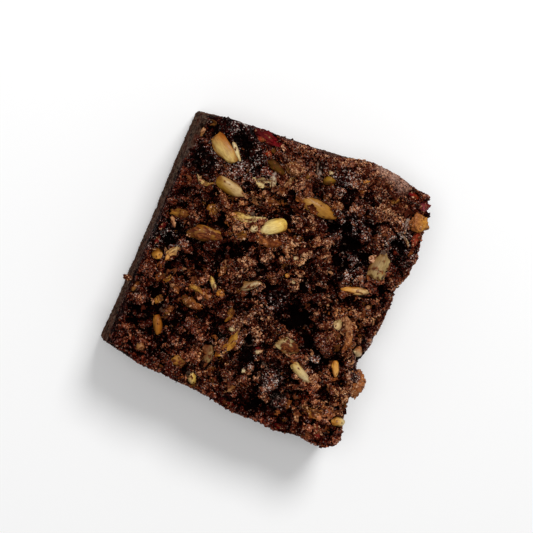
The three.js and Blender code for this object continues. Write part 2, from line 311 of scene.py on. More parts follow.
# Lumps that cling to the sides: middle, size, two paints
CLINGING = [
    ((30.9, -16.2, 19.0), (5.6, 6.8, 6.0), "rust", "toast"),
    ((-32.7, -11.2, 19.5), (2.2, 1.4, 1.6), "choc", "umber"),
]

# Round lumps of dough that stand clear of the crumb: x, y, radius, height
BALLS = [
    (20.0, -8.4, 3.3, 1.5), (10.0, -22.0, 2.6, 1.1), (23.4, 22.0, 2.5, 1.2), (14.4, -26.6, 2.4, 1.0),
]
# Narrow cracks: from, to, half width, depth
CRACKS = [((28.0, -27.4), (29.9, -32.6), 0.7, 4.0), ((12.4, 5.6), (17.9, 6.0), 0.5, 3.0)]
print(len(NUTS), "nuts,", len(FRUITS), "berry skins,", len(BALLS) + len(CLINGING), "lumps")

# %% [markdown]
# ## Zones of the top
# The crumb isn't the same all over: some of it is wet, some dry, some stained by berries. A painted
# map could say where, but a few round zones with soft edges do it too, and they stay easy to move.

# %% List the zones: x, y, radius, all in mm
# The rim's skin is also painted lighter, partly as a highlight on the rim's shoulder
SMOOTH = [(17.3, 37.6, 1.7), (20.4, 36.9, 1.8), (23.4, 35.4, 1.7)]  # a skin that the tin left on the rim
GLAZED = [(30.2, -5, 2.4), (30.4, -9.5, 2.8), (29.8, -13.5, 2.2)]  # filmed, and smooth too
# Filmed zones: a wet glaze that gets a coat, and a painted grey sheen on the crumb, as its reflection
FILM_AND_SHEEN = [
    (2.3, 31.9, 1.4), (-8, 25, 1.3), (27.1, 33.3, 1.2), (28.4, 25.2, 1.3), (31.4, 18.3, 2.2),
    (14, -26.6, 2.4), (11, -21.5, 2.4), (-5.8, -16.3, 1.2), *GLAZED,
]  # greyish and shiny
WET = [
    (-19.5, 33, 6), (-14.8, 26, 5), (-26, 24, 4), (-27.5, 2, 4), (3.5, -3, 3), (15, 21, 5), (28.5, 21, 4),
    (18.5, 11.5, 4), (0.5, -15.5, 2), (10, -22, 3), (2.7, -19.7, 2), (18.5, -13.5, 2), (9, 31, 3),
]
DRY = [
    (-16, -8, 5), (23, -24, 7), (-13.5, 15.5, 6), (5, 10, 5), (-7, -24, 5), (22, 0, 5), (-1.5, 19.5, 4),
]
# Spots where the crumb is made darker: painted shade in hollows and beside lumps, and dark wet crumb
DARK_AND_SHADED = [
    (10, -3.7, 4.2), (13.7, -11.3, 2.4), (16.5, 16.1, 4.2), (9.7, 19.5, 2.6), (-13, 4.7, 2.2),
    (-19.2, -1.8, 2.2), (-24.6, -17.3, 3.4), (-18.5, -15.6, 2.4), (7.5, -30.2, 3.2), (18.4, -30.2, 3.2),
    (-27, 33.3, 4.5), (-15, 28.6, 2), (-26.5, -11, 2.5), (-24, -4.5, 2), (30.1, 16.5, 2.6),
    (-26, 23.5, 3), (-18, 31.5, 3), (21.6, -8.8, 2.2),
]
RED = [
    (-13, 34, 4.5), (-23, 33, 3), (30.5, 32.5, 3.6), (31.5, 23, 3), (28, 16, 3), (26, 9, 3), (-24, -28, 5),
    (-14, -30, 3), (1, -31.5, 4), (13, -33, 4), (27, -31, 5), (14, -10, 3), (20, -22, 2.5), (-30, 14, 3),
    (9.5, 20, 2.5), (-10, 27, 2.5),
]  # stained by berry juice
COMPACT = [
    (-22, 29, 9), (-9, 32, 6), (0, 31, 5), (9, 31, 6), (18, 32, 7), (24, 27, 5), (-28, 16, 4),
    (20.3, -6.6, 5),
]  # fine and pressed together, with no deep gaps
WRAP = [
    (-30.4, 32, 2.0), (-30.4, 29, 1.8), (-30.6, 26, 1.6), (-30.8, 23, 1.3),
]  # here the cut side goes on over the rim
ZONES = (SMOOTH, FILM_AND_SHEEN, WET, DRY, DARK_AND_SHADED, RED, COMPACT, WRAP)
print(sum(len(spots) for spots in ZONES), "round spots in", len(ZONES), "kinds of zone")

# %% [markdown]
# ## The slab
# The slab could be sculpted by hand, but its outline and its large clumps are in the solid already.
# So a copy of the solid is welded, remeshed into small even faces and smoothed, and its crumb is
# then raised by geometry nodes.


# %% Copy the solid and give it small faces
def welded(node):
    """A bmesh copy of a solid with its loose triangles joined."""
    b = bmesh.new()
    b.from_mesh(frame["nodes"][node].data)
    bmesh.ops.remove_doubles(b, verts=b.verts, dist=0.001 * MM)
    return b


def new_object(name, data):
    made = bpy.data.objects.new(name, data)
    bpy.context.scene.collection.objects.link(made)
    return made


def piece_from(b, name):
    """A new object from a bmesh, in the scene."""
    mesh = bpy.data.meshes.new(name)
    b.to_mesh(mesh)
    b.free()
    return new_object(name, mesh)


def apply_modifiers(piece):
    """Keeps the mesh that the piece's modifiers make, and drops them."""
    seen = piece.evaluated_get(bpy.context.evaluated_depsgraph_get())
    piece.data = bpy.data.meshes.new_from_object(seen)
    piece.data.name = piece.name
    piece.modifiers.clear()


def modifier(piece, kind, **settings):
    made = piece.modifiers.new(kind.lower(), kind)
    for name, value in settings.items():
        setattr(made, name, value)
    return made


FACE = 0.26 * MM
slab = piece_from(welded(NODE), "slab")
modifier(slab, "REMESH", mode="VOXEL", voxel_size=FACE)
modifier(slab, "SMOOTH", factor=0.5, iterations=7)
apply_modifiers(slab)
print("slab:", len(slab.data.polygons), "faces before the crumb")

# %% [markdown]
# ## How far in from the side
# Near its sides the slab was pressed by the tin and the knife, so the crumb there is low and tight.
# The distance to the side could be worked out from the outline. It is simpler to ask a search tree
# for the nearest point of the wall, and to keep the answer with the mesh.


# %% Read and keep numbers for each point of a mesh
def numbers_of(items, name, width=1, kind=float):
    """A row of numbers for each item of a mesh's list."""
    numbers = np.empty(len(items) * width, kind)
    items.foreach_get(name, numbers)
    return numbers.reshape(-1, width)


def points_of(piece):
    return numbers_of(piece.data.vertices, "co", 3) / MM


def normals_of(piece):
    return numbers_of(piece.data.vertices, "normal", 3)


def read_values(piece, name):
    return numbers_of(piece.data.attributes[name].data, "value")[:, 0]


def store_values(piece, name, values):
    """Keeps a number, or a colour, for each point of a mesh."""
    kind, way = ("FLOAT", "value") if values.ndim == 1 else ("FLOAT_COLOR", "color")
    if name not in piece.data.attributes:
        piece.data.attributes.new(name, kind, "POINT")
    piece.data.attributes[name].data.foreach_set(way, np.ascontiguousarray(values, dtype=float).ravel())


# %% Measure the way to the side
WALL_FROM, WALL_TO = 12, 14  # the wall is looked for between these heights, mm
WALL_UPWARD = 0.4  # and its faces look up less than this


def way_to_side(piece):
    """How far each point is, seen from above, from the wall, in mm."""
    co, upward = points_of(piece), normals_of(piece)[:, 2]
    wall = co[(upward < WALL_UPWARD) & (co[:, 2] > WALL_FROM) & (co[:, 2] < WALL_TO), :2]
    tree = KDTree(len(wall))
    for number, (x, y) in enumerate(wall):
        tree.insert((x, y, 0), number)
    tree.balance()
    return np.array([tree.find((x, y, 0))[2] for x, y in co[:, :2]])


store_values(slab, "rim", way_to_side(slab))
print("the middle is", round(float(read_values(slab, "rim").max())), "mm from the side")

# %% [markdown]
# ## Crumb
# Baked crumb is a pile of rounded lumps of every size with gaps between them. A Voronoi pattern
# gives such lumps: each cell is a dome, and each has its own height. On the top, two sizes of domes
# and a fine grain lie on two sizes of torn clods. The sides were cut by a knife, so they only have
# shallow drag marks and small pocks.


# %% Helpers: trees of geometry nodes, round lumps and round zones
def geometry_tree(name):
    tree = bpy.data.node_groups.new(name, "GeometryNodeTree")
    for way in ("INPUT", "OUTPUT"):
        tree.interface.new_socket("Geometry", in_out=way, socket_type="NodeSocketGeometry")
    return tree, Wire(tree).node("NodeGroupInput")


def end_tree(geometry):
    out = geometry.tree.nodes.new("NodeGroupOutput")
    geometry.tree.links.new(geometry.socket, out.inputs[0])
    return geometry.tree


def domes(place, size):
    """Round lumps packed side by side, each of its own height, 0 to 1, and each lump's chance."""
    sockets = {"Vector": place, "Scale": 1 / size, "Randomness": 1.0}
    cell = place.node("ShaderNodeTexVoronoi", {"feature": "F1"}, sockets)
    chance = cell.node("ShaderNodeSeparateXYZ", {}, {0: cell.beside("Color")})
    rise = (1 - (cell * 1.35) ** 2.0).above(0.0) ** 0.6
    return rise * (chance * 0.85 + 0.15), chance


def within(flat_place, spots):
    """1 inside any of the round zones, fading to 0 outside."""
    mask = 0.0
    for x, y, radius in spots:
        away = flat_place.vector("DISTANCE", (x - MIDDLE[0], y - MIDDLE[1], 0), out=1)
        mask = away.ramp(radius * 1.3, radius * 0.7).above(mask)
    return mask


# %% Raise the crumb with geometry nodes
# Each form has a size and a height, or depth, in mm
CLODS = [(5.6, 1.6), (2.7, 0.95)]
MEAN_CLOD = 0.55  # of their height
DOMES = [(2.1, 0.8), (0.8, 0.35)]
MEAN_DOME = 0.42
GRAIN, MARKS, POCKS = (0.6, 0.8), (1.1, 0.9), (1.5, 0.6)
WARP = (2.2, 2.6)  # how the clods and domes are pushed out of line
DRAG = (1.0, 1.0, 0.8)  # the knife drew the marks on the sides out downwards
TOP_FROM, TOP_TO = 15.5, 20.5  # the broken crumb begins between these heights, mm
BASE_FROM, BASE_TO = 0.3, 1.2  # and the sides' marks between these, above the flat base
CALMED, PRESSED = 0.4, 0.6  # what smooth zones and compact ones take off the crumb's height


def crumb_relief():
    tree, geometry = geometry_tree("crumb_relief")
    place = geometry.node("GeometryNodeInputPosition").scaled(1 / MM)
    normal = geometry.node("GeometryNodeInputNormal")
    height = place.node("ShaderNodeSeparateXYZ", {}, {0: place}, out=2)
    facing = normal.node("ShaderNodeSeparateXYZ", {}, {0: normal}, out=2)
    shift = place.noise(WARP[0], out=1).vector("SUBTRACT", (0.5, 0.5, 0.5)).scaled(WARP[1])
    warped = place.vector("ADD", shift)
    flat = place.vector("MULTIPLY", (1, 1, 0))
    top = height.ramp(TOP_FROM, TOP_TO) * facing.ramp(-0.2, 0.35) * (1 - within(flat, WRAP))
    calm = 1 - within(flat, SMOOTH + GLAZED) * CALMED
    side = (1 - top) * height.ramp(BASE_FROM, BASE_TO)
    rim = geometry.node("GeometryNodeInputNamedAttribute", {"data_type": "FLOAT"}, {"Name": "rim"})
    loose = (1 - within(flat, COMPACT) * PRESSED) * rim.ramp(0.5, 4.0, 0.3, 1.0)
    clods = sum((warped.noise(size, 3.0, 0.62).ramp(0.46, 0.54) - MEAN_CLOD) * high for size, high in CLODS)
    (ball, _), (dome, tone) = (domes(warped, size) for size, _ in DOMES)
    (_, ball_high), (_, dome_high) = DOMES
    heaped = (clods + (ball - MEAN_DOME) * ball_high) * loose + (dome - MEAN_DOME) * dome_high
    fine = (place.noise(GRAIN[0], 4.0, 0.7) - 0.5) * GRAIN[1]
    drawn = place.vector("MULTIPLY", DRAG)
    marks = (drawn.noise(MARKS[0], 4.0, 0.7) - 0.5) * MARKS[1] + (dome - MEAN_DOME) * 0.2
    pock = drawn.noise(POCKS[0], 3.0, 0.65).ramp(0.6, 0.68)
    rise = (heaped + fine) * calm * top + (marks * calm - pock * POCKS[1]) * side
    offset = normal.scaled(rise * MM)
    moved = geometry.node("GeometryNodeSetPosition", {}, {"Geometry": geometry, "Offset": offset})
    for name, value in (("top", top), ("tone", tone), ("pock", pock), ("rise", heaped + fine)):
        moved = moved.node("GeometryNodeStoreNamedAttribute", {"data_type": "FLOAT", "domain": "POINT"},
                           {"Geometry": moved, "Name": name, "Value": value})
    return end_tree(moved)


# %% Put the crumb on the slab
MOST_TRIANGLES = 196_000
modifier(slab, "NODES", node_group=crumb_relief())
apply_modifiers(slab)
share = MOST_TRIANGLES / (2 * len(slab.data.polygons))
modifier(slab, "DECIMATE", ratio=min(1.0, share), use_collapse_triangulate=True)
apply_modifiers(slab)
print("slab:", len(slab.data.polygons), "triangles with its crumb")

# %% [markdown]
# ## Seats
# Kernels are pressed into dough, so they sit in it with crumb up to their edges. Each one is laid on
# the plane of the crumb around it, and the slab is then pressed down under it and drawn up to its
# edge. The solid's own plain kernels, still in the slab's surface, are pressed away with it.

# %% Say how each kind of piece is formed
# thick: in mm; point, tip: how it narrows to its point; dent, knob: its large and small dents;
# sharp: how much thinner its edge is; full: how blunt its ends are
Style = namedtuple("Style", "thick point tip dent knob sharp full", defaults=(0, 0, 0, 0, 0, 0))
KERNEL_STYLE = Style(2.3, point=0.14, tip=0.16, dent=0.14, knob=0.02, sharp=0.35, full=0.12)
HALF_STYLE = Style(1.6, point=0.12, tip=0.1, dent=0.3, knob=0.07, sharp=0.3, full=0.12)
FLAKE_STYLE = Style(0.8)
NUT_STYLE = Style(3.0, dent=0.5, knob=0.3)
FRUIT_STYLE = Style(1.0, dent=0.7, knob=0.4, sharp=0.1)
FULL_WIDTH = 2.6  # what is narrower than this is thinner too, mm


def thickness(bit, style):
    return style.thick * min(1.0, bit.width / FULL_WIDTH)


def direction(degrees):
    """The cosine and the sine of an angle."""
    return math.cos(math.radians(degrees)), math.sin(math.radians(degrees))


def centred(x, y):
    """A place on the top as a place in the solid's own frame, in mm."""
    return np.array([x, y]) - MIDDLE


def reach_of(bit, xy):
    """How far out a place is from a piece's middle: 1 at its edge."""
    away = xy - centred(bit.x, bit.y)
    c, s = direction(bit.turn)
    u = (away[:, 0] * c + away[:, 1] * s) / (bit.length / 2)
    v = (away[:, 1] * c - away[:, 0] * s) / (bit.width / 2)
    return np.hypot(u, v - bit.bend * (u * u - 0.4) * bit.length / bit.width)


print("a whole kernel is", thickness(KERNELS[0], KERNEL_STYLE), "mm thick")

# %% Press a piece's seat into the slab
TOP_LOW = 14.0  # nothing below this height belongs to the top, mm
STEEPEST = 0.55  # the steepest seat, as a rise per step
RING_REACH, RING_WIDTH = 1.8, 0.75  # crumb out to this reach, and so many mm more, gives the seat's plane
COLLAR, HOLD = 0.6, 0.75  # how far out the crumb is drawn up to a piece's edge, and how closely


def seated(co, bit, style):
    """Presses the slab's points down under a piece. Gives the middle and the normal of its seat."""
    reach = reach_of(bit, co[:, :2])
    high = co[:, 2] > TOP_LOW
    around = high & (reach > 1.0) & (reach < RING_REACH + RING_WIDTH / (bit.width / 2))
    away = co[around, :2] - centred(bit.x, bit.y)
    plane = np.linalg.lstsq(np.column_stack([np.ones(len(away)), away]), co[around, 2], rcond=None)[0]
    slope = plane[1:] * min(1.0, STEEPEST / max(1e-9, np.hypot(*plane[1:])))
    thick = thickness(bit, style)
    middle = np.array([*centred(bit.x, bit.y), plane[0] + thick * (0.5 - bit.sunk)])
    level = middle[2] + (co[:, :2] - middle[:2]) @ slope
    under = high & (reach < 1.0)
    co[under, 2] = np.minimum(co[under, 2], level[under] - thick * (0.5 - 0.35 * reach[under] ** 2))
    collar = high & (reach >= 1.0) & (reach < 1 + COLLAR)
    hold = HOLD * (1 - (reach[collar] - 1.0) / COLLAR) ** 1.5
    co[collar, 2] += (level[collar] - 0.1 * thick - co[collar, 2]) * hold
    return Vector(middle), Vector((-slope[0], -slope[1], 1)).normalized()


# %% Raise the round lumps and open the cracks
ROUNDED = 0.65  # how far a round lump hides the crumb that was there
GAP_MIDDLE, GAP_HALF = 1.2, 0.2  # the gap around it, in its radii
WAVES = 9  # how a crack winds along its way


def swell(co, x, y, radius, high):
    """Raises a round lump out of the slab's points, with a gap around it."""
    out = co[:, :2] - centred(x, y)
    angle = np.arctan2(out[:, 1], out[:, 0])
    away = np.hypot(*out.T) / radius * (1 + 0.1 * np.sin(3 * angle + x) + 0.07 * np.sin(5 * angle + y))
    high_up = co[:, 2] > TOP_LOW
    lump, gap = high_up & (away < 1), high_up & (away >= 1) & (away < GAP_MIDDLE + GAP_HALF)
    dome = np.median(co[lump, 2]) + high * (np.sqrt(1 - away[lump] ** 2) - 0.6)
    co[lump, 2] = (1 - ROUNDED) * co[lump, 2] + ROUNDED * dome
    co[gap, 2] -= high * (1 - np.abs(away[gap] - GAP_MIDDLE) / GAP_HALF)


def cracked(co, start, end, half_width, depth):
    """Presses a narrow crack into the slab's points."""
    start, end = centred(*start), centred(*end)
    along, away = end - start, co[:, :2] - start
    share = np.clip((away @ along) / (along @ along), 0, 1)
    across = (away[:, 0] * along[1] - away[:, 1] * along[0]) / np.hypot(*along)
    across -= half_width * np.sin(WAVES * share)
    ends = (4 * share * (1 - share)) ** 0.5
    co[:, 2] -= depth * ends * np.clip(1 - np.abs(across) / half_width, 0, 1) ** 0.7 * (co[:, 2] > TOP_LOW)


# %% Shape the slab round everything that is pressed into it
slab_co = points_of(slab)
for ball in BALLS:
    swell(slab_co, *ball)
seats = {}
kinds = [(FRUITS, FRUIT_STYLE), (NUTS, NUT_STYLE), (FLAKES, FLAKE_STYLE), (HALVES, HALF_STYLE),
         (KERNELS, KERNEL_STYLE)]
for bits, style in kinds:
    for bit in bits:
        seats[bit] = seated(slab_co, bit, style)
for crack in CRACKS:
    cracked(slab_co, *crack)
slab.data.vertices.foreach_set("co", (slab_co * MM).ravel())
slab.data.update()
print("seats:", len(seats))

# %% [markdown]
# ## Kernels, nuts and berry skin
# A sunflower kernel is a flattened teardrop with a fine grain along it. It could be drawn as a
# profile and lofted, but no two are alike. A ball of small triangles is pulled to the form instead:
# narrowed to its point, flattened, and then dented by noise with a seed of its own. Nuts and berry
# skin are the same ball with deeper dents and knobs.


# %% Form a piece from a ball
def clipped(value, limit, ragged):
    """The value, pressed nearly flat beyond a limit, as a cut or broken side is."""
    edge = limit + ragged
    return min(value, edge + 0.12 * (value - edge)) if limit < 1 else value


def formed(p, bit, style, seed):
    """Where a point of the unit ball goes: the form of a piece with its point at +X."""
    where = p * 1.1 + Vector((seed * 7.1, seed * 3.3, seed * 5.7))
    narrow = 1 - style.point * p.x - style.tip * max(0.0, p.x) ** 3
    dent = 1 + style.dent * noise.noise(where * 1.3) + style.knob * noise.noise(where * 4.5)
    x = -clipped(-p.x, bit.snap, 0.12 * noise.noise(where * 3))
    fuller = max(0.01, 1 - p.x * p.x) ** -style.full
    y = clipped(p.y * fuller, bit.flat, 0.05 * noise.noise(where * 2))
    edge = math.hypot(p.x, p.y)
    z = p.z * narrow * (1 - style.sharp * edge ** 4) * (1 + style.knob * noise.noise(where * 6))
    bent = bit.bend * (p.x * p.x - 0.4) * bit.length / bit.width
    return Vector((x * dent, y * narrow * dent + bent, z))


# %% Paint each point of a piece
TOASTED = (0.5, 0.7, 0.85)  # how much of each colour a toasted rim takes away


def paint_of(name):
    return Vector(PAINT[name][:3])


def smooth_step(value):
    value = min(1.0, max(0.0, value))
    return value * value * (3 - 2 * value)


def tint_of(bit, p, seed):
    """A piece's colour at a point of the unit ball: two paints, a toasted rim and smears of crumb."""
    c, s = direction(bit.shade)
    where = Vector((p.x * 1.8, p.y * 1.2, seed * 2.3))
    share = 0.5 + 0.5 * math.tanh((p.x * c + p.y * s) / 0.5 + 0.7 * noise.noise(where))
    paint = paint_of(bit.blunt).lerp(paint_of(bit.point), share)
    rim = smooth_step((math.hypot(p.x, p.y) - 0.6) / 0.4)
    toast = rim * smooth_step(0.5 + 1.2 * noise.noise(where * 1.3))
    paint = Vector(part * (1 - loss * toast) for part, loss in zip(paint, TOASTED))
    smear = smooth_step((noise.noise(where * 1.5) + 0.4 * (bit.dust - 0.8) - 0.5 * rim - 0.12) / 0.12)
    crumb = paint_of("choc").lerp(paint_of("rust"), smooth_step(0.3 + 1.4 * noise.noise(p * 8)))
    return (*paint.lerp(crumb, smear), 1.0)


# %% Lay the pieces in their seats
DUST_UNIT = 3  # a piece's dust is kept as a share of this


def seat_turn(bit, normal):
    """Turns a piece's own axes to its seat: +X to where it points, +Z away from the crumb."""
    ahead = Vector((*direction(bit.turn), 0))
    ahead = (ahead - ahead.dot(normal) * normal).normalized()
    turn = Matrix((ahead, normal.cross(ahead), normal)).transposed()
    return turn @ Matrix.Rotation(math.radians(-bit.lift), 3, "Y")


def layers(b):
    """What each point of a pressed piece keeps: its paint, its place on the piece and its dust."""
    kept = b.verts.layers
    return kept.float_color.new("tint"), kept.float_vector.new("own"), kept.float.new("dust")


def lay(points, kept, bit, seed, form):
    """Paints a piece's points and moves each to where its form puts it, in the piece's seat."""
    tint, own, dust = kept
    middle, normal = seats[bit]
    turn = seat_turn(bit, normal)
    for v in points:
        v[tint], v[dust] = tint_of(bit, v.co, seed), bit.dust / DUST_UNIT
        v[own] = form(v.co)
        v.co = (middle + turn @ v[own]) * MM


def smoothed(piece):
    """The piece, shaded smoothly, with its count of triangles printed."""
    piece.data.polygons.foreach_set("use_smooth", [True] * len(piece.data.polygons))
    piece.data.calc_loop_triangles()
    print(piece.name, len(piece.data.loop_triangles), "triangles")
    return piece


def pressed_balls(name, bits, style, first_seed, fine):
    """One mesh of all the pieces of a kind, each in its seat."""
    b = bmesh.new()
    kept = layers(b)
    for seed, bit in enumerate(bits, first_seed):
        half = (bit.length / 2, bit.width / 2, thickness(bit, style) / 2)

        def form(p):
            return Vector(part * size for part, size in zip(formed(p, bit, style, seed), half))

        lay(bmesh.ops.create_icosphere(b, subdivisions=fine, radius=1.0)["verts"], kept, bit, seed, form)
    return smoothed(piece_from(b, name))


kernels = pressed_balls("kernels", KERNELS, KERNEL_STYLE, first_seed=1, fine=5)
halves = pressed_balls("kernel_halves", HALVES, HALF_STYLE, first_seed=31, fine=4)
nuts = pressed_balls("nut_pieces", NUTS, NUT_STYLE, first_seed=91, fine=4)
fruits = pressed_balls("berry_skin", FRUITS, FRUIT_STYLE, first_seed=121, fine=4)

# %% [markdown]
# ## Oat flakes
# An oat flake is a sheet a third of a millimetre thick, torn at its rim, curled and crumpled as it
# baked. A squashed ball would have no rim, so a flake starts as a grid instead. Its square is
# rounded to an oval, its rim is torn by noise, and it is curled. Solidify then gives it its
# thickness, and one subdivision takes the corners off.

# %% Curl a flake
SHEET = 0.34 * MM
CURL, BOW, TORN = 0.42, 0.1, 0.55
CRUMPLE, CREASE = 0.5, 0.25  # the large and the small folds


def oval(v):
    """A place on a square, moved to where it is on the round of the same size."""
    return Vector((v.x * math.sqrt(1 - v.y * v.y / 2), v.y * math.sqrt(1 - v.x * v.x / 2), 0))


def curled(p, bit, seed):
    """Where a point of the unit disc goes on a flake, in mm."""
    where = Vector((p.x * 1.4 + seed * 3.7, p.y * 1.4 + seed * 1.9, seed * 5.3))
    rim = p.length ** 2
    torn = 1 + TORN * rim * (noise.noise(where * 1.6) + 0.6 * noise.noise(where * 4))
    x, y = p.x * torn, p.y * torn * (1 - 0.25 * p.x)
    way = 1 if seed % 2 else -1
    lifted = way * CURL * bit.width * (y * y - 0.3) + BOW * bit.length * noise.noise(Vector((x, seed, 0)))
    crumpled = CRUMPLE * noise.noise(where * 2.1) + CREASE * noise.noise(where * 5)
    bent = bit.bend * (x * x - 0.4) * bit.length / 2
    return Vector((x * bit.length / 2, y * bit.width / 2 + bent, lifted + crumpled * 0.6))


# %% Lay the flakes
def flake_sheets(name, bits, first_seed):
    b = bmesh.new()
    kept = layers(b)
    for seed, bit in enumerate(bits, first_seed):
        sheet = bmesh.ops.create_grid(b, x_segments=16, y_segments=8, size=1.0)["verts"]
        for v in sheet:
            v.co = oval(v.co)
        lay(sheet, kept, bit, seed, lambda p: curled(p, bit, seed))
    made = piece_from(b, name)
    modifier(made, "SOLIDIFY", thickness=SHEET, offset=0)
    modifier(made, "SUBSURF", levels=1, render_levels=1)
    apply_modifiers(made)
    return smoothed(made)


flakes = flake_sheets("oat_flakes", FLAKES, first_seed=61)

# %% [markdown]
# ## How open each place is
# Gaps between crumbs are painted dark, as painted shade, and what stands up is painted lighter, as
# painted light. Both come down to how much of the sky a place can see. The render's own shadows dim
# the gaps too, and this painted shade is laid over them. So a few rays are sent up from each point
# of the top, and the share that gets out is kept with the mesh.

# %% Measure the sky from each point
SKY_RINGS = ((15, 3), (45, 5), (70, 5))  # the rays' tilt from straight up, in degrees, and their count
SKY_REACH = 7 * MM
CLEAR = 0.1  # a ray starts so far above its point, mm


def sky_rays():
    """Directions over the sky, and how much each counts."""
    rays = []
    for tilt, count in SKY_RINGS:
        t = math.radians(tilt)
        for k in range(count):
            a = 2 * math.pi * (k + tilt / 90) / count
            way = Vector((math.sin(t) * math.cos(a), math.sin(t) * math.sin(a), math.cos(t)))
            rays.append((way, math.cos(t)))
    return rays


def sky_share(piece, asked):
    """The share of the sky, 0 to 1, that each asked point of a mesh sees."""
    b = bmesh.new()
    b.from_mesh(piece.data)
    tree = BVHTree.FromBMesh(b)
    rays = sky_rays()
    whole = sum(weight for _, weight in rays)
    share = np.ones(len(b.verts))
    for v, wanted in zip(b.verts, asked):
        if wanted:
            start = v.co + v.normal * CLEAR * MM
            free = sum(weight for way, weight in rays if not tree.ray_cast(start, way, SKY_REACH)[0])
            share[v.index] = free / whole
    b.free()
    return share


top = read_values(slab, "top")
on_the_top = top > 0.25
seen = sky_share(slab, on_the_top)
shares = [round(float(np.quantile(seen[top > 0.5], part)), 2) for part in (0.25, 0.5, 0.75)]
print("sky that each quarter of the top sees at most:", shares)

# %% [markdown]
# ## What the crumb is like at each place
# The finish needs a few maps: wet, dry, filmed, stained and how light the crumb is. How light it is
# holds painted shade in the gaps and painted light where it stands up, and the filmed map also
# gives a painted grey sheen. They could be pictures, but a picture has to be laid out flat first.
# Each map is a number for each point of the mesh instead, worked out from the round zones, the way
# to the side and the sky.


# %% Keep the maps with the slab
def spread(spots, xy, soft=0.35):
    """How far each place is inside any of the round zones, 1 in the middle of one."""
    mask = np.zeros(len(xy))
    for x, y, radius in spots:
        away = np.hypot(*(xy - centred(x, y)).T) / radius
        mask = np.maximum(mask, np.clip((1 + soft - away) / (2 * soft), 0, 1))
    return mask


LEFT_RIM, LEFT_RIM_WIDTH = -24, 2.2  # left of this x, the rim is dark and stained so far in, mm
LEFT_FROM, LEFT_TO = 6, 14  # so far left of the middle the crumb turns darker, mm
LOW_FROM, LOW_TO = 8, 2  # and below these y it is stained too, mm
BRINK_WIDTH = 1.5  # the broken edge over the sides is lighter, mm

xy, upward, rim = slab_co[:, :2], normals_of(slab)[:, 2], read_values(slab, "rim")
field = {name: spread(spots, xy, soft) for name, spots, soft in (
    ("wet", WET, 0.5), ("dry", DRY, 0.6), ("film", FILM_AND_SHEEN, 0.3), ("skin", SMOOTH, 0.5), ("stain", RED, 0.6))}
# The dark spots: painted shade in hollows and beside lumps, and dark crumb; the left rim's dark crumb joins
# them
dark, compact = spread(DARK_AND_SHADED, xy, 0.4), spread(COMPACT, xy, 0.4)
left_rim = np.exp(-rim / LEFT_RIM_WIDTH) * (xy[:, 0] < LEFT_RIM)
leftward = np.clip((-LEFT_FROM - xy[:, 0]) / (LEFT_TO - LEFT_FROM), 0, 1)
low_left = 0.4 * leftward * np.clip((LOW_FROM - xy[:, 1]) / (LOW_FROM - LOW_TO), 0, 1)
brink = np.exp(-rim / BRINK_WIDTH) * np.clip(1 - upward, 0, 1)
dark = np.maximum(dark, 0.6 * left_rim)
field["stain"] = np.maximum(field["stain"], np.maximum(left_rim, low_left))
field["wet"] = np.maximum(field["wet"], 0.5 * field["film"])


def ranked(values):
    """Each value's place in the order of all of them, from 0 to 1."""
    order = np.empty(len(values))
    order[np.argsort(values)] = np.linspace(0, 1, len(values))
    return order


# How light the crumb is, as painted shade and painted light: by its rank in openness, height and
# dryness, so that the shares of dark and of light crumb are known. Gaps that see little sky are
# painted nearly black as shade, and high crumb is painted lighter. Dry crumb has more contrast. On
# the cut sides it is low in the pocks, which are painted dark as shade in their dents.
level = 1 - read_values(slab, "pock")
painted_light_and_shade = 1.3 * seen + 0.22 * read_values(slab, "rise") + 0.16 * field["dry"] - 0.12 * field["wet"]
level[on_the_top] = ranked(painted_light_and_shade[on_the_top])
contrast = 0.3 * (level - 0.5) * field["dry"]
level += (contrast - 0.3 * dark - 0.07 * leftward + 0.4 * brink) * on_the_top
field["level"] = level
for name, values in field.items():
    store_values(slab, name, values)
print("maps:", ", ".join(field))

# %% [markdown]
# ## Loose crumbs
# A relief alone looks like putty. Thousands of separate crumbs make it read as cake: they stand up,
# overhang and throw small shadows. Each one could be a copy of an object, but copies don't survive
# an export. Geometry nodes put a few low shapes on a cloud of points and make one mesh of them.


# %% Choose places on a surface
def places_on(piece, count, weight, dice):
    """Random points on a piece, the normal there, and the number of a vertex close by."""
    mesh = piece.data
    mesh.calc_loop_triangles()
    co = points_of(piece) * MM
    corners = numbers_of(mesh.loop_triangles, "vertices", 3, int)
    a, b, c = (co[corners[:, i]] for i in range(3))
    cross = np.cross(b - a, c - a)
    area = np.linalg.norm(cross, axis=1)
    chance = area * weight[corners].mean(axis=1)
    chosen = dice.choice(len(corners), count, p=chance / chance.sum())
    u, v = dice.random((2, count))
    over = u + v > 1
    u[over], v[over] = 1 - u[over], 1 - v[over]
    points = a[chosen] + u[:, None] * (b - a)[chosen] + v[:, None] * (c - a)[chosen]
    normals = cross[chosen] / np.maximum(area[chosen], 1e-18)[:, None]
    return points, normals, corners[chosen, 0]


# %% Make a few crumb shapes
FAR = 50  # how far apart in the noise two shapes may be


def shape_group(name, shapes):
    """A collection of the small shapes that a scatter copies."""
    group = bpy.data.collections.new(name)
    bpy.context.scene.collection.children.link(group)
    for kind, shape in enumerate(shapes):
        made = piece_from(shape, f"{name}_{kind:02}")
        bpy.context.scene.collection.objects.unlink(made)
        group.objects.link(made)
    return group


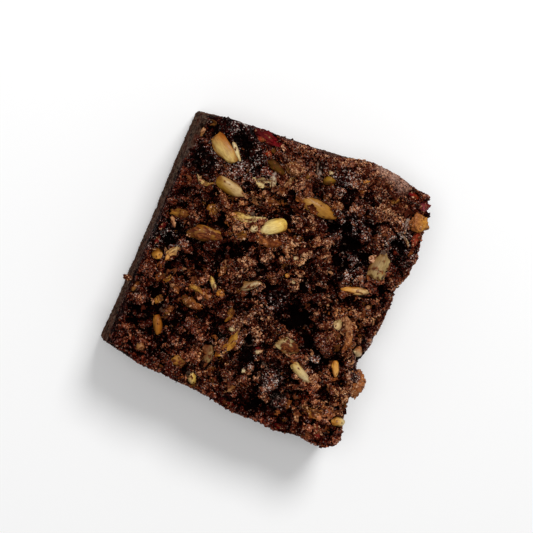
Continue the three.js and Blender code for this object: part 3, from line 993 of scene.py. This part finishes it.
def uneven_lump(fine, dice):
    """A lump about 1 across: rounder for a higher number, and a mere splinter below 0."""
    b = bmesh.new()
    if fine > 0:
        bmesh.ops.create_icosphere(b, subdivisions=fine, radius=1.0)
    elif fine == 0:
        bmesh.ops.create_uvsphere(b, u_segments=4, v_segments=2, radius=1.1)
    else:
        bmesh.ops.create_cone(b, cap_ends=True, segments=3, radius1=1.1, radius2=0, depth=1.5)
    offset = Vector(dice.random(3)) * FAR
    for v in b.verts:
        v.co *= 0.5 + 0.35 * noise.noise(v.co * 1.9 + offset) + 0.3 * (dice.random() - 0.5)
    return b


def crumb_shapes(name, kinds, fine, dice):
    return shape_group(name, [uneven_lump(fine, dice) for _ in range(kinds)])


# %% Copy the shapes to the places
def scatter_tree(group):
    tree, geometry = geometry_tree("scatter")
    read = {name: geometry.node("GeometryNodeInputNamedAttribute", {"data_type": kind}, {"Name": name})
            for name, kind in (("turn", "FLOAT_VECTOR"), ("size", "FLOAT_VECTOR"), ("pick", "INT"))}
    shapes = geometry.node("GeometryNodeCollectionInfo", {}, {
        "Collection": group, "Separate Children": True, "Reset Children": True})
    copies = geometry.node("GeometryNodeInstanceOnPoints", {}, {
        "Points": geometry, "Instance": shapes, "Pick Instance": True, "Instance Index": read["pick"],
        "Rotation": read["turn"], "Scale": read["size"]})
    return end_tree(copies.node("GeometryNodeRealizeInstances", {}, {0: copies}))


STRETCH = (0.6, 1.5)  # how much a copy is drawn out or squashed in each direction


def scatter(name, group, points, sizes, values, dice, stretch=STRETCH):
    """One mesh with a small shape at each point. Sizes are in metres; values are kept with it."""
    mesh = bpy.data.meshes.new(name)
    mesh.from_pydata(points.tolist(), [], [])
    count = len(points)
    columns = {
        "turn": ("FLOAT_VECTOR", "vector", dice.uniform(0, 2 * math.pi, (count, 3))),
        "size": ("FLOAT_VECTOR", "vector", sizes[:, None] * dice.uniform(*stretch, (count, 3))),
        "pick": ("INT", "value", dice.integers(0, len(group.objects), count)),
    }
    for column, (kind, way, numbers) in columns.items():
        data = mesh.attributes.new(column, kind, "POINT").data
        data.foreach_set(way, np.ascontiguousarray(numbers).ravel())
    made = new_object(name, mesh)
    for column, numbers in values.items():
        store_values(made, column, numbers)
    modifier(made, "NODES", node_group=scatter_tree(group))
    apply_modifiers(made)
    for column in columns:
        if column in made.data.attributes:
            made.data.attributes.remove(made.data.attributes[column])
    for shape in list(group.objects):
        bpy.data.objects.remove(shape)
    bpy.data.collections.remove(group)
    made.data.calc_loop_triangles()
    print(name, count, "copies,", len(made.data.loop_triangles), "triangles")
    return made


# %% Weigh where crumbs gather
EDGE_AT, EDGE_WIDTH = 1.1, 0.1  # crumbs gather at this reach around a piece


def crowding(xy):
    """Where crumbs gather: hardly any over the pieces, and more of them round each piece's edge."""
    crowd = np.ones(len(xy))
    for bit in seats:
        reach = reach_of(bit, xy)
        edge = 0.35 / bit.width
        crowd = crowd * np.clip((reach - 0.85) / 0.15, 0.02, 1)
        crowd += 2.0 * np.exp(-(((reach - EDGE_AT) / (EDGE_WIDTH + edge)) ** 2))
    return crowd


crowd = crowding(xy)
open_top = top ** 2 * crowd * (1 - 0.4 * field["skin"]) * (1 - 0.5 * field["film"])
open_top = open_top * np.clip(field["level"], 0, 1) ** 1.2 * np.clip((upward - 0.2) * 1.6, 0.03, 1)
above_base, sideways = np.clip((slab_co[:, 2] - 1) / 9, 0, 1), np.clip(1.5 - 3 * np.abs(upward), 0, 1)
weights = {
    "coarse": open_top * np.clip(rim / 3, 0.1, 1) * (1 - 0.6 * compact),
    "fine": open_top * (1 - 0.6 * field["wet"]),
    "sides": (1 - top) ** 2 * above_base * sideways,
}
print("crumbs gather up to", round(float(crowd.max()), 1), "times as densely")

# %% Scatter crumbs of five sizes on the top, and one on the sides
# small, large: in mm; sunk: how far, as a share of the size; fine: how round the shapes are;
# own_tone: how much of the tone is the crumb's own; where: which weights it follows
Sprinkle = namedtuple("Sprinkle", "count small large sunk fine own_tone seed where")
CRUMBS = {
    "lumps": Sprinkle(1100, 0.8, 1.8, 0.3, 2, 0.3, 11, "coarse"),
    "crumbs": Sprinkle(7000, 0.4, 0.8, 0.25, 1, 0.2, 12, "coarse"),
    "grains": Sprinkle(14000, 0.26, 0.54, 0.1, 0, 0.35, 13, "fine"),
    "specks": Sprinkle(28000, 0.2, 0.42, 0.0, -1, 0.6, 14, "fine"),
    "motes": Sprinkle(20000, 0.15, 0.3, 0.0, -1, 0.8, 16, "fine"),
    "side_crumbs": Sprinkle(2600, 0.3, 0.9, 0.3, 1, 0.3, 15, "sides"),
}
SHAPES = 12  # how many shapes each sort of crumb is copied from
FINE_STRETCH = (0.45, 1.9)
SHADE_LOSS = 0.08  # loose crumbs are a little darker than what they lie on


def scatter_crumbs(name, row):
    dice = np.random.default_rng(row.seed)
    group = crumb_shapes(name + "_shape", SHAPES, row.fine, dice)
    points, normals, near = places_on(slab, row.count, weights[row.where], dice)
    sizes = (row.small + (row.large - row.small) * dice.random(row.count) ** 2.0) * MM
    points = points - normals * (sizes * row.sunk)[:, None]
    tone = dice.random(row.count)
    values = {"tone": tone, **{key: field[key][near] for key in field}, "top": top[near]}
    # Loose crumbs take the painted shade and light of where they lie, with some tone of their own
    values["level"] = values["level"] * (1 - row.own_tone) + tone * row.own_tone - SHADE_LOSS
    stretch = FINE_STRETCH if row.where == "fine" else STRETCH
    return scatter(name, group, points, sizes, values, dice, stretch)


crumbs = [scatter_crumbs(name, row) for name, row in CRUMBS.items()]

# %% [markdown]
# ## Bran
# Between the crumbs lie hundreds of small torn flakes of bran. They are too many to place by hand
# and too thin to be crumbs, so a few curled scraps are scattered like the crumbs, each copy with a
# paint of its own.

# %% Scatter the scraps of bran
SCRAPS, SCRAP_SHAPES = 440, 9
SCRAP = Bit(0, 0, 1.1, 0.7, 0, "", "")  # only its length, width and bend count
SCRAP_SHEET = 0.13  # as a share of its size
SCRAP_SEED = 40
SCRAP_SMALL, SCRAP_MORE = 0.8, 1.8  # the smallest, and how much larger the largest is, mm
SCRAP_STRETCH = (0.8, 1.2)
SCRAP_PAINTS = ["umber", "brown", "choc", "umber", "pink", "umber", "choc", "rust", "brown"]


def curled_scrap(kind, dice):
    """A thin curled scrap, about 1 across."""
    b = bmesh.new()
    own = b.verts.layers.float_vector.new("own")
    bmesh.ops.create_grid(b, x_segments=4, y_segments=3, size=1.0)
    for v in b.verts:
        v.co = curled(oval(v.co), SCRAP, SCRAP_SEED + kind) * 0.9 + Vector(dice.random(3)) * 0.06
    bmesh.ops.solidify(b, geom=b.faces, thickness=SCRAP_SHEET)
    bmesh.ops.recalc_face_normals(b, faces=b.faces)
    for v in b.verts:
        v[own] = v.co * 2
    return b


dice = np.random.default_rng(31)
weight = top ** 2 * crowd * (1 - field["skin"]) * (1 - 0.9 * field["wet"]) * (0.3 + field["dry"])
points, _, near = places_on(slab, SCRAPS, weight * seen * np.clip(upward, 0.1, 1), dice)
sizes = (SCRAP_SMALL + SCRAP_MORE * dice.random(SCRAPS) ** 2) * MM
paints = np.array([PAINT[name] for name in SCRAP_PAINTS])[dice.integers(0, len(SCRAP_PAINTS), SCRAPS)]
values = {"tint": paints, "dust": np.ones(SCRAPS)}
group = shape_group("scrap_shape", [curled_scrap(kind, dice) for kind in range(SCRAP_SHAPES)])
scraps = scatter("bran_scraps", group, points, sizes, values, dice, SCRAP_STRETCH)

# %% [markdown]
# ## The lumps at the sides
# One toasted lump of crumb clings to the right-hand side, below the rim. The solid has it as a plain
# ball. It is a knobbly ball of its own here, so that it can have its own toasted colour. A crumb at
# the left-hand side is made in the same way.


# %% Make the clinging lumps
def clinging_lumps():
    b = bmesh.new()
    tint, own, dust = layers(b)
    for seed, (at, size, low_paint, high_paint) in enumerate(CLINGING):
        middle = Vector(at) - Vector((*MIDDLE, 0))
        for v in bmesh.ops.create_icosphere(b, subdivisions=5, radius=1.0)["verts"]:
            p = v.co + Vector((seed * 5, 0, 0))
            knobs = 0.92 + 0.3 * noise.noise(p * 1.6) + 0.4 * abs(noise.noise(p * 2.6))
            knobs += 0.14 * noise.noise(p * 9)
            local = Vector(k / 2 * part * knobs for k, part in zip(size, v.co))
            share = smooth_step(0.5 + 0.4 * v.co.x + noise.noise(p * 2))
            v[tint] = Vector(PAINT[low_paint]).lerp(Vector(PAINT[high_paint]), share)
            v[own], v[dust] = local, 1.0
            v.co = (middle + local) * MM
    return smoothed(piece_from(b, "clinging_lumps"))


lump = clinging_lumps()

# %% [markdown]
# ## Crumbs that stick to the pieces
# A kernel that comes out of a brownie is never clean. Specks of crumb stick to it, more on some than
# on others. They are the same lumps again, scattered on the pieces' own upper faces.

# %% Scatter the specks on the pieces
DUST = {"kernels": 24, "kernel_halves": 60, "oat_flakes": 420, "nut_pieces": 110, "berry_skin": 200,
        "clinging_lumps": 260}  # how many lie on each
SPECK_SMALL, SPECK_MORE = 0.22, 0.5  # the smallest, and how much larger the largest is, mm
SPECK_LEVEL, SPECK_LEVELS = 0.8, 0.3  # the darkest, and how much lighter the lightest is


def dusted(piece, count, seed):
    """Places and sizes of the specks on one piece."""
    dice = np.random.default_rng(seed)
    facing_up = np.clip(normals_of(piece)[:, 2] - 0.2, 0, 1)
    points, _, _ = places_on(piece, count, read_values(piece, "dust") * facing_up + 1e-9, dice)
    return points, (SPECK_SMALL + SPECK_MORE * dice.random(count) ** 3) * MM


dusty_pieces = (kernels, halves, flakes, nuts, fruits, lump)
stuck = [dusted(piece, DUST[piece.name], seed) for seed, piece in enumerate(dusty_pieces, 21)]
points, sizes = (np.concatenate(part) for part in zip(*stuck))
dice = np.random.default_rng(20)
count = len(points)
tone, level = dice.random(count), SPECK_LEVEL + SPECK_LEVELS * dice.random(count)
values = {"tone": tone, "level": level, "top": np.ones(count)}
dust = scatter("dust", crumb_shapes("dust_shape", kinds=8, fine=0, dice=dice), points, sizes, values, dice)

# %% [markdown]
# ## Finishes
# The crumb is the hardest finish. One brown would look like clay. The crumb is painted from nearly
# black in the gaps, as painted shade, to red brown and to a dusty light brown where it stands up,
# partly as painted light, and parts of it are wet with fat or fruit and catch the light, with
# painted glints and a painted grey sheen added there. Dry crumb has almost no gloss, so its
# specular level is low, and the wet parts get a coat instead, by a map.

# %% Name the crumb's colours
# The darkest colours are painted shade for the gaps and the palest partly painted light on what stands up;
# the two glint greys are painted highlights, the film grey and the cut sides' streak grey are partly a
# painted sheen, and the skin colour is partly a painted highlight
SOIL = {name: light(code) for name, code in {
    "black": "040000", "pit": "1A0401", "dark": "360C06", "cocoa": "54200F", "red": "7A4025",
    "dusty": "A66E48", "pale": "D2A278", "film": "7E6C60", "skin": "B48E7C", "cut": "0E0805",
    "streak": "5C483A", "rust": "4A1E14", "painted_glint": "DCCAB4", "painted_shine": "C8BEB4",
}.items()}
# From painted shade, nearly black, in the gaps to light crumb on what stands up, lighter there partly as
# painted light
CRUMB_STOPS = [
    (0.2, "black"), (0.38, "pit"), (0.52, "dark"), (0.68, "cocoa"), (0.82, "red"), (0.94, "dusty"),
    (1.0, "pale"),
]  # from gaps to what stands up
# What a colour is multiplied by
GREYED, WARMED, JUICE, TOASTY = (light(code) for code in ("E0C8D8", "FFDC9C", "D87464", "8A5A2C"))
DRAWN = (1.0, 1.0, 0.5)  # the blotches on the cut sides are drawn out downwards
print(len(SOIL), "colours of crumb")


# %% Start a material
def new_material(name):
    material = bpy.data.materials.new(name)
    material.use_nodes = True
    tree = material.node_tree
    return material, tree.nodes["Principled BSDF"], Wire(tree)


def connect(shader, name, wire):
    shader.id_data.links.new(wire.socket, shader.inputs[name])


def read(start, name, out=2):
    return start.node("ShaderNodeAttribute", {"attribute_name": name}, out=out)


def set_gloss(shader, specular, coat_roughness):
    shader.inputs["Specular IOR Level"].default_value = specular
    shader.inputs["Coat Roughness"].default_value = coat_roughness


def roughened(shader, strength, depth, height):
    """Small bumps, up to so many mm high, on the finish."""
    sockets = {"Strength": strength, "Distance": depth * MM, "Height": height}
    connect(shader, "Normal", height.node("ShaderNodeBump", {}, sockets))


# %% Colour the torn and the cut crumb
def torn_colour(place, shade, mottle, maps):
    """Torn crumb: painted shade in the gaps; dusty and stained above, with painted sheen and glints."""
    wet, patch = maps["wet"], place.noise(2.2)
    stops = [(at, SOIL[name]) for at, name in CRUMB_STOPS]
    colour = shade.node("ShaderNodeValToRGB", {"stops": stops}, {0: shade})
    grey = place.noise(5.0).ramp(0.4, 0.62) * 0.25 + wet * 0.3
    colour = grey.mixed(colour, GREYED, "MULTIPLY")
    warm = maps["dry"] * place.noise(3.0).ramp(0.35, 0.6) * 0.7
    colour = warm.mixed(colour, WARMED, "MULTIPLY")
    colour = (maps["stain"] * 0.7).mixed(colour, JUICE, "MULTIPLY")
    # Painted sheen: filmed patches are mixed towards a pale grey, as the glaze's reflection
    film = maps["film"] * patch.ramp(0.42, 0.6) * mottle.ramp(0.0, 0.35)
    colour = film.mixed(colour, SOIL["film"])
    # The tin's skin on the rim: lighter partly as a painted highlight on the rim's shoulder
    colour = (maps["skin"] * mottle.ramp(-0.2, 0.1) * 0.7).mixed(colour, SOIL["skin"])
    # Painted glints: tiny pale specks on lit crumb, greyer where it is wet, as highlights
    painted_sparkle = place.noise(0.42, 1.0, 0.6) + (patch - 0.5) * 0.2 + wet * 0.05
    painted_glint = painted_sparkle.ramp(0.61, 0.69) * shade.ramp(0.3, 0.65) * (wet * 0.6 + 0.35)
    return painted_glint.mixed(colour, wet.mixed(SOIL["painted_glint"], SOIL["painted_shine"]))


def cut_colour(place, maps):
    """Knife-cut crumb: streaks, grey partly as painted sheen, red brown blotches, pocks painted dark as
    shade.
    """
    streak = place.vector("MULTIPLY", DRAWN).noise(1.1, 4.0, 0.8) + (maps["tone"] - 0.5) * 0.2
    # The grey streaks are drag marks, painted grey partly as a sheen
    colour = streak.ramp(0.38, 0.64).mixed(SOIL["cut"], SOIL["streak"])
    colour = (place.noise(4.0, 4.0, 0.65).ramp(0.35, 0.7) * 0.6).mixed(colour, SOIL["rust"])
    # The pocks are painted dark, as shade in their dents
    return maps["level"].ramp(0.0, 0.8).mixed(SOIL["pit"], colour)


# %% Make the crumb's material
def crumb_material():
    material, shader, start = new_material("crumb")
    place = start.node("ShaderNodeTexCoord", out=3).scaled(1 / MM)
    maps = {name: read(start, name) for name in ("tone", "top", *field)}
    wet = maps["wet"]
    mottle = (place.noise(0.5, 3.0, 0.75) - 0.5) * 1.3
    # The crumb's lightness: the level map's painted shade and light, its own tone and a mottle
    shade = maps["level"] + (maps["tone"] - 0.5) * 0.2 + mottle - wet * 0.05 - 0.04
    cut, torn = cut_colour(place, maps), torn_colour(place, shade, mottle, maps)
    connect(shader, "Base Color", maps["top"].ramp(0.2, 0.6).mixed(cut, torn))
    connect(shader, "Roughness", 0.85 - wet * 0.35 + (place.noise(0.5) - 0.5) * 0.2)
    glaze = place.noise(1.6).ramp(0.4, 0.65, 0.0, 0.5) + wet * 0.6
    connect(shader, "Coat Weight", glaze * shade.ramp(0.5, 0.75) * maps["top"])
    set_gloss(shader, 0.02, 0.2)
    roughened(shader, 0.8, 0.15, place.noise(0.25, 3.0, 0.7))
    return material


# %% [markdown]
# ## Kernels, flakes, nuts and berry skin
# Each of these is a solid colour with a fine grain along it and some crumb stuck to it. They could
# have four materials, but only a few numbers differ, so one function makes them all. The colour of
# each piece comes from the tint that its points keep.

# %% Paint the kernels, flakes, nuts and berry skin
# streak: how much the grain shows; grain: how fast it changes along a piece; specks: crumb on it
Look = namedtuple("Look", "roughness coat streak grain specks")
LOOKS = {
    "kernel": Look(0.6, 0.25, streak=0.5, grain=0.25, specks=0.0),
    "flake": Look(0.8, 0.0, streak=0.7, grain=0.4, specks=0.7),
    "nut": Look(0.7, 0.2, streak=0.7, grain=1.0, specks=0.5),
    "fruit": Look(0.6, 0.3, streak=0.7, grain=1.0, specks=0.3),
}


def piece_material(name, look):
    material, shader, start = new_material(name)
    tint, own = read(start, "tint", 0), read(start, "own", 1)
    grain = own.vector("MULTIPLY", (look.grain, 1.0, 1.0)).noise(0.45, 3.0, 0.65)
    shade = (grain.ramp(0.32, 0.72) * look.streak).mixed(tint, TOASTY, "MULTIPLY")
    dusty = read(start, "dust").ramp(0.0, 0.15, 0.2, 1.0)
    speck = own.noise(1.1, 4.0, 0.75).ramp(0.5, 0.6) * look.specks * dusty
    connect(shader, "Base Color", speck.mixed(shade, SOIL["cocoa"]))
    connect(shader, "Roughness", look.roughness + (grain - 0.5) * 0.3)
    pale = start.node("ShaderNodeRGBToBW", {}, {0: tint})
    connect(shader, "Coat Weight", pale.ramp(0.03, 0.25) * look.coat)
    set_gloss(shader, 0.05, 0.3)
    roughened(shader, 0.5, 0.12, grain)
    return material


finish = {"crumb": crumb_material(), **{name: piece_material(name, look) for name, look in LOOKS.items()}}
print("finishes:", ", ".join(finish))


# %% Dress the pieces
def dress(piece, slot):
    piece.data.materials.clear()
    piece.data.materials.append(finish[slot])
    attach(piece, "root")
    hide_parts(NODE)


DRESS = {"crumb": (slab, *crumbs, dust), "kernel": (kernels, halves), "flake": (flakes, scraps),
         "fruit": (fruits,), "nut": (nuts, lump)}
for slot, pieces in DRESS.items():
    for piece in pieces:
        dress(piece, slot)
    print(slot + ":", ", ".join(piece.name for piece in pieces))

# %% [markdown]
# ## Floor, light and camera
# The brownie lies on a plain pale floor. One soft lamp from the upper right gives the crumb its
# shadows, and a weaker one by the camera and a bright surround fill them a little. One lamp alone
# would be simpler, but then the gaps would show nothing. The camera looks nearly straight down with
# a long lens, turned so that the slab stands askew in the picture.

# %% Set the camera
TOP_LEVEL = 24  # the mean level of the top, mm
AIM = Vector((*centred(0, 0), TOP_LEVEL)) * MM
YAW, PITCH, ROLL = math.radians(7), math.radians(2.5), math.radians(21.5)
DISTANCE = 380 * MM
PICTURE_WIDTH = 133.25 * MM  # what the picture spans at the aim point
PICTURE_PIXELS, LIFT_PIXELS = 533, 17.5
LIFT = LIFT_PIXELS / PICTURE_PIXELS * PICTURE_WIDTH  # how far the picture's centre is above that point

back = Vector((-math.sin(YAW), math.sin(PITCH), 0))
back.z = math.sqrt(1 - back.length_squared)
up = Vector((-math.sin(ROLL), math.cos(ROLL), 0))
up = (up - up.dot(back) * back).normalized()
right = up.cross(back)


def aimed(location, target, upward):
    """A matrix that puts a camera or lamp at a place and points it at another."""
    away = (location - target).normalized()
    across = upward.cross(away).normalized()
    turn = Matrix((across, away.cross(across), away)).transposed()
    return Matrix.Translation(location) @ turn.to_4x4()


lens = bpy.data.cameras.new("camera")
lens.sensor_width = 36
lens.lens = lens.sensor_width * DISTANCE / PICTURE_WIDTH
lens.clip_start, lens.clip_end = 0.01, 10
camera = new_object("camera", lens)
camera.matrix_world = aimed(AIM + back * DISTANCE, AIM + up * LIFT, up)
bpy.context.scene.camera = camera
print("camera: a lens of", round(lens.lens), "mm")


# %% Light it
def lamp(name, toward, distance, size, watts):
    data = bpy.data.lights.new(name, "AREA")
    data.shape, data.size, data.energy = "DISK", size, watts
    made = new_object(name, data)
    made.matrix_world = aimed(AIM + toward.normalized() * distance, AIM, up)
    print(name, "lamp:", watts, "watts")


lamp("key", right * 0.45 + up * 0.6 + back, distance=0.8, size=0.3, watts=3.9)
lamp("fill", back - right * 0.1, distance=0.9, size=0.5, watts=2.7)
world = bpy.data.worlds.new("studio")
world.use_nodes = True
surround = world.node_tree.nodes["Background"].inputs
surround["Color"].default_value = (1, 1, 1, 1)
surround["Strength"].default_value = 0.3
bpy.context.scene.world = world
bpy.context.scene.view_settings.view_transform = "Standard"

# %% Lay the floor
FLOOR_HALF = 1.5  # from its middle to its edge, in metres

floor_mesh = bmesh.new()
bmesh.ops.create_grid(floor_mesh, x_segments=1, y_segments=1, size=FLOOR_HALF)
floor = piece_from(floor_mesh, "floor")
paper, paper_shader, _ = new_material("paper")
paper_shader.inputs["Base Color"].default_value = (0.95, 0.95, 0.95, 1)
paper_shader.inputs["Roughness"].default_value = 0.9
floor.data.materials.append(paper)
print("floor:", 2 * FLOOR_HALF, "m across")
